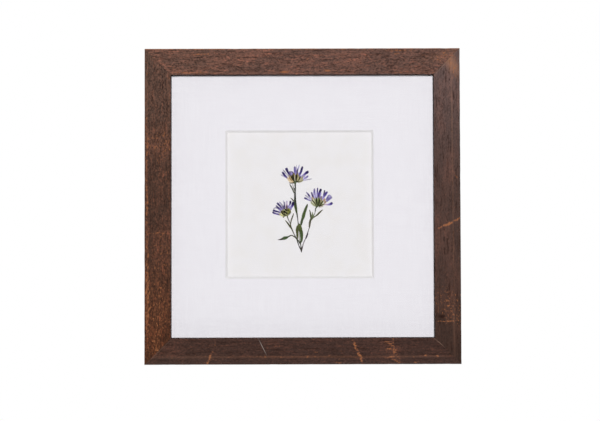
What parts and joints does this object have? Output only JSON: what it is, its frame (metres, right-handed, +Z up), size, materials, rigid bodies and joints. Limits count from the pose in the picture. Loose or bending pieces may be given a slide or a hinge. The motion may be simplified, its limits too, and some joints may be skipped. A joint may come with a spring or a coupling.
{
  "type": "pressed flower frame",
  "caption": "Square wooden wall frame with a glazed white window mat and a spray of pressed violet asters mounted on paper.",
  "frame": {"origin": "centre of the bounding box of the hung frame, behind the middle of the glass", "axes": "+Z up as it hangs, the face towards -Y, the wall on the +Y side, +X to the right seen from the front"},
  "size_m": [0.2922, 0.0228, 0.2922],
  "materials": {
    "stained_wood": "dark walnut stain, rubbed through at the edges, satin",
    "glass": "clear float glass",
    "mat_board": "white mat board with a fine linen face",
    "rag_paper": "white rag paper, matte",
    "hardboard": "brown hardboard",
    "zinc_steel": "zinc plated",
    "rubber": "soft grey pad",
    "dried_green": "pressed and dried leaf and stem, matte",
    "dried_cup": "pressed and dried olive green bracts, matte",
    "dried_petal": "pressed and dried violet petals, matte"
  },
  "bodies": {
    "root": {"rail_bottom": "stained_wood", "rail_left": "stained_wood", "rail_top": "stained_wood", "rail_right": "stained_wood", "glass_pane": "glass", "window_mat": "mat_board", "mount_sheet": "rag_paper", "backing_board": "hardboard", "tab_1": "zinc_steel", "tab_2": "zinc_steel", "tab_3": "zinc_steel", "tab_4": "zinc_steel", "tab_5": "zinc_steel", "tab_6": "zinc_steel", "tab_7": "zinc_steel", "tab_8": "zinc_steel", "sawtooth_hanger": "zinc_steel", "hanger_nail_left": "zinc_steel", "hanger_nail_right": "zinc_steel", "bumper_left": "rubber", "bumper_right": "rubber", "stem_centre": "dried_green", "stem_left": "dried_green", "stem_right": "dried_green", "leaf_centre_sheath": "dried_green", "leaf_under_top_head": "dried_green", "leaf_centre_small": "dried_green", "leaf_left_upper": "dried_green", "leaf_left_lower": "dried_green", "leaf_arched": "dried_green", "leaf_folded_left": "dried_green", "leaf_folded_right": "dried_green", "leaf_tall": "dried_green", "leaf_right_slim": "dried_green", "leaf_right_short": "dried_green", "leaf_right_spread": "dried_green", "leaf_right_sheath": "dried_green", "bract_right_stem": "dried_green", "rays_top": "dried_petal", "rays_left": "dried_petal", "rays_right": "dried_petal", "cup_top": "dried_cup", "cup_left": "dried_cup", "cup_right": "dried_cup"}
  },
  "joints": []
}
